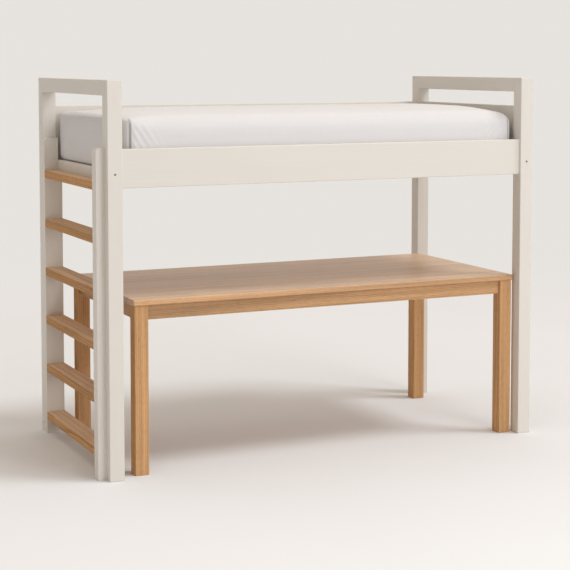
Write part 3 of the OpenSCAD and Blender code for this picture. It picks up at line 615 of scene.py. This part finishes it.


# ---- Fitted sheet ----------------------------------------------------------------
# White cotton drawn over the mattress, turned under it and held by its hem. Each corner has an upright seam,
# its groove darkened with painted shade, and the spare cloth beside it settles into slanting folds that a
# simulation works out. The cloth is pressed flat where it lies against the rails.
SHEET_CORNER = (0.036, 0.078)
CLOTH_LIFT = 0.0014
SEAM_TURN = {-1: math.radians(86), 1: math.radians(66)}
SEAM_DEPTH = 0.0075
SEAM_WIDTH = 0.0028
FOLD_HEIGHT = 0.0055
FOLD_SPACING = 0.030
FOLD_REACH = 0.125
FOLD_LEAN = 0.60
WALL_CREASE = 0.0027
TOP_CREASE = 0.0010
CLOTH_THICKNESS = 0.0007
LEAST_CLEARANCE = 0.0008
MOST_MOVED = 0.010
SETTLING_FRAMES = 16
SHEET_STEP = 0.010
sheet = soft_block("fitted_sheet", SHEET_STEP, turned_under=5, closer=0.35)


def from_seam(x, y):
    """Distance along the wall from the seam of the corner, counted up along the side and down along the end."""
    a, b, power = corner_form(x, y, SHEET_CORNER)
    seam_turn = SEAM_TURN[1 if x > 0 else -1]
    u, v = (abs(x) - WALL_X) / a + 1, (abs(y) - WALL_Y) / b + 1
    if u > 0 and v > 0:
        turn = math.atan2(v, u) - seam_turn
        return turn * (a if turn > 0 else 0.7 * b)
    if v > u:
        return (math.pi / 2 - seam_turn) * a - u * a
    return v * b - 0.7 * seam_turn * b


def fold_height(x, y, z):
    """Folds fan out from the top of the seam and lean over; faint creases follow the walls and the top."""
    along = from_seam(x, y)
    drop = min(max((TOP - z) / (TOP - BOTTOM), 0), 1)
    fade_in = min(max((drop - 0.03) / 0.14, 0), 1) * min((1 - drop) / 0.3, 1)
    fade_in *= min(max((along - 0.004) / 0.012, 0), 1)
    lean = along - FOLD_LEAN * (TOP - z) + 0.012 * noise.noise(Vector((x * 7, y * 7, z * 6)))
    ripple = 2 * math.pi * lean / FOLD_SPACING + math.copysign(2.1, x) + math.copysign(0.7, y)
    fan = 0.5 + 0.5 * math.cos(ripple)
    fan *= math.exp(-(max(along - 0.4 * (TOP - z), 0) / FOLD_REACH) ** 2) * fade_in
    wall = x if abs(y) > WALL_Y - 0.01 else y
    hang = max(noise.noise(Vector((wall * 15, z * 5, 2.5 + math.copysign(3, y)))), 0)
    hang *= math.sin(math.pi * drop)
    top = max(noise.noise(Vector((x * 3.0, y * 4.5, 4.0))) + 0.4 * noise.noise(Vector((x * 9, y * 8, 1.0))), 0)
    hang *= min(max((along + 0.02) / 0.04, 0.2), 1)
    return FOLD_HEIGHT * fan ** 1.4 + WALL_CREASE * hang + (TOP_CREASE * top if z > TOP - 0.03 else 0)


skins = []
pinned, slack = sheet.vertex_groups.new(name="hem"), sheet.vertex_groups.new(name="spare")
for v in sheet.data.vertices:
    x, y, z = v.co
    at_rest = mattress_point(x, y, z, SHEET_CORNER, 0.0)
    outward = (mattress_point(x, y, z, SHEET_CORNER, 0.001) - at_rest).normalized()
    under = min(WALL_X - abs(x), WALL_Y - abs(y)) > 0.012 and z < 0
    if under:
        pinned.add([v.index], 1.0, "REPLACE")
    spare = math.exp(-(from_seam(x, y) / 0.16) ** 2) if z < TOP - 0.004 and not under else 0.0
    slack.add([v.index], spare, "REPLACE")
    v.co = at_rest + outward * (CLOTH_LIFT - (0.0006 if under else 0) + (0 if under else fold_height(x, y, z)))
    skins.append((at_rest, outward, v.co.copy()))

bpy.context.view_layer.objects.active = block
block.modifiers.new("rest", "COLLISION")
block.collision.thickness_outer = 0.0006
block.collision.cloth_friction = 12
bpy.context.view_layer.objects.active = sheet
cloth = sheet.modifiers.new("settle", "CLOTH")
cloth.settings.quality = 6
cloth.settings.mass = 0.04
cloth.settings.tension_stiffness = 40
cloth.settings.compression_stiffness = 30
cloth.settings.shear_stiffness = 12
cloth.settings.bending_stiffness = 0.06
cloth.settings.air_damping = 3
cloth.settings.vertex_group_mass = "hem"
cloth.settings.vertex_group_shrink = "spare"
cloth.settings.shrink_min = 0.003
cloth.settings.shrink_max = -0.035
cloth.collision_settings.collision_quality = 2
cloth.collision_settings.distance_min = 0.0008
cloth.collision_settings.use_self_collision = False
for frame_number in range(1, SETTLING_FRAMES + 1):
    bpy.context.scene.frame_set(frame_number)
bpy.ops.object.modifier_apply(modifier="settle")
block.modifiers.remove(block.modifiers["rest"])
bpy.context.scene.frame_set(1)
for v, (at_rest, outward, start) in zip(sheet.data.vertices, skins):
    moved = v.co - start
    v.co = start + moved * min(1, MOST_MOVED / max(moved.length, 1e-9))
    v.co += outward * max(LEAST_CLEARANCE - (v.co - at_rest).dot(outward), 0)

# Painted shade: the seam attribute darkens the cloth along the groove of each corner seam, where shade falls.
painted_seam_shade = sheet.data.attributes.new("seam", "FLOAT", "POINT")
for v, (_, outward, start) in zip(sheet.data.vertices, skins):
    x, y, z = start - MIDDLE
    along = from_seam(x, y)
    level = min(max((TOP - z + 0.002) / 0.016, 0), 1) if outward.z > -0.9 else 0
    if abs(along) < 0.03 and level:
        v.co -= outward * level * SEAM_DEPTH * math.exp(-(along / SEAM_WIDTH) ** 4)
        v.co += outward * level * 0.0012 * math.exp(-((along - 0.0065) / 0.003) ** 2)
        painted_seam_shade.data[v.index].value = level * math.exp(-(along / 0.0030) ** 2)

RAIL_CLEARANCE = 0.0007
rail_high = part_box("side_rail_front")[1]
guard_low, guard_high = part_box("guard_panel_back")
for v in sheet.data.vertices:
    if v.co.z < rail_high.z:
        v.co.y = max(v.co.y, rail_high.y + RAIL_CLEARANCE)
    if v.co.z < guard_high.z:
        v.co.y = min(v.co.y, guard_low.y - RAIL_CLEARANCE)

thick = sheet.modifiers.new("cloth_thickness", "SOLIDIFY")
thick.thickness = CLOTH_THICKNESS
thick.offset = 0
bpy.ops.object.modifier_apply(modifier="cloth_thickness")
cotton = woven_cloth("white_cotton", (0.76, 0.755, 0.768), weave=0.0005, strength=0.35, rough=0.85)
sheet.data.materials.append(cotton)
bpy.ops.object.shade_smooth()
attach(sheet, "mattress")


# ---- Desk ------------------------------------------------------------------------
# Solid oak: a top glued up from staves, four square legs and thin aprons set back behind their faces,
# with beech corner blocks underneath. It is oiled and a little darker where the end grain shows.
# Painted light: the top is made a little paler overall and paler again on its level face, standing in for the
# light and sheen that fall on it.
finish_node("desk_top", oiled_oak("oak_desk_top", "X", (0.2, 0.33, 0.05),
                                  light=1.08, stave=0.087, sheen=0.50, painted_top_light=0.45))
for k, leg in enumerate(("front_left", "front_right", "rear_left", "rear_right")):
    shift = (0.7 * k, 0.19 + 0.05 * k, 0.11 * k)
    finish_node("desk_leg_" + leg, oiled_oak("oak_leg_" + leg, "Z", shift, light=1.04, sheen=0.0))
for k, (apron, axis) in enumerate((("front", "X"), ("back", "X"), ("left", "Y"), ("right", "Y"))):
    shift = (0.9 * k, 0.09 * k + 0.2, 0.30)
    finish_node("desk_apron_" + apron, oiled_oak("oak_apron_" + apron, axis, shift, light=0.98, sheen=0.25))


# ---- Fixings ---------------------------------------------------------------------
# Zinc-plated bolts, barrel nuts, inserts and screws, sunk into the timber, with beech dowels in the
# joints and beech blocks in the corners of the desk. Only a few of their heads can be seen.
def zinc_plate(name, tone):
    metal = bpy.data.materials.new(name)
    metal.use_nodes = True
    tree = metal.node_tree
    skin = tree.nodes["Principled BSDF"]
    skin.inputs["Metallic"].default_value = 1.0
    at = tree.nodes.new("ShaderNodeTexCoord")
    fleck = tree.nodes.new("ShaderNodeTexVoronoi")
    fleck.inputs["Scale"].default_value = 900.0
    tree.links.new(at.outputs["Object"], fleck.inputs["Vector"])
    cool = (tone * 0.9, tone * 0.92, tone * 0.95, 1)
    cast = mixed(tree, fleck.outputs["Distance"], cool, (tone, tone, tone, 1))
    tree.links.new(cast, skin.inputs["Base Color"])
    rub = tree.nodes.new("ShaderNodeTexNoise")
    rub.inputs["Scale"].default_value = 300.0
    rub.inputs["Detail"].default_value = 4.0
    tree.links.new(at.outputs["Object"], rub.inputs["Vector"])
    tree.links.new(ranged(tree, rub.outputs["Fac"], 0.25, 0.50), skin.inputs["Roughness"])
    return metal


# Painted shade: the bolts, barrel nuts and inserts that can be seen get a darker zinc for their sunk heads;
# hidden screws and nuts keep the bright zinc.
SHADED_ZINC, BRIGHT_ZINC = 0.24, 0.55
for name in ("rail_bolts", "barrel_nuts", "stile_bolts", "stile_inserts"):
    finish_node(name, zinc_plate("zinc_" + name, SHADED_ZINC))
for name in ("slat_screws", "ledge_screws_set", "end_rail_screws",
             "desk_corner_bolts", "desk_corner_nuts", "desk_top_screws"):
    finish_node(name, zinc_plate("zinc_" + name, BRIGHT_ZINC))


def planed_beech(name, axis):
    beech = bpy.data.materials.new(name)
    beech.use_nodes = True
    tree = beech.node_tree
    skin = tree.nodes["Principled BSDF"]
    _, along = grain_axes(tree, axis, (0.3, 0.2, 0.1))
    fleck = stretched(tree, along, (110.0, 900.0, 900.0), "ShaderNodeTexNoise", Scale=1.0, Detail=2.0)
    ramp = tree.nodes.new("ShaderNodeValToRGB")
    ramp.color_ramp.elements[0].position = 0.36
    ramp.color_ramp.elements[0].color = (0.450, 0.270, 0.150, 1)
    ramp.color_ramp.elements[1].position = 0.52
    ramp.color_ramp.elements[1].color = (0.660, 0.470, 0.300, 1)
    tree.links.new(fleck.outputs["Fac"], ramp.inputs["Fac"])
    tree.links.new(ramp.outputs["Color"], skin.inputs["Base Color"])
    skin.inputs["Roughness"].default_value = 0.6
    tree.links.new(raised(tree, fleck.outputs["Fac"], 0.2, 0.0003), skin.inputs["Normal"])
    return beech


for name, axis in (("frame_dowels", "Y"), ("rung_dowels", "Y"),
                   ("desk_dowels", "X"), ("desk_corner_blocks", "Z")):
    finish_node(name, planed_beech("beech_" + name, axis))
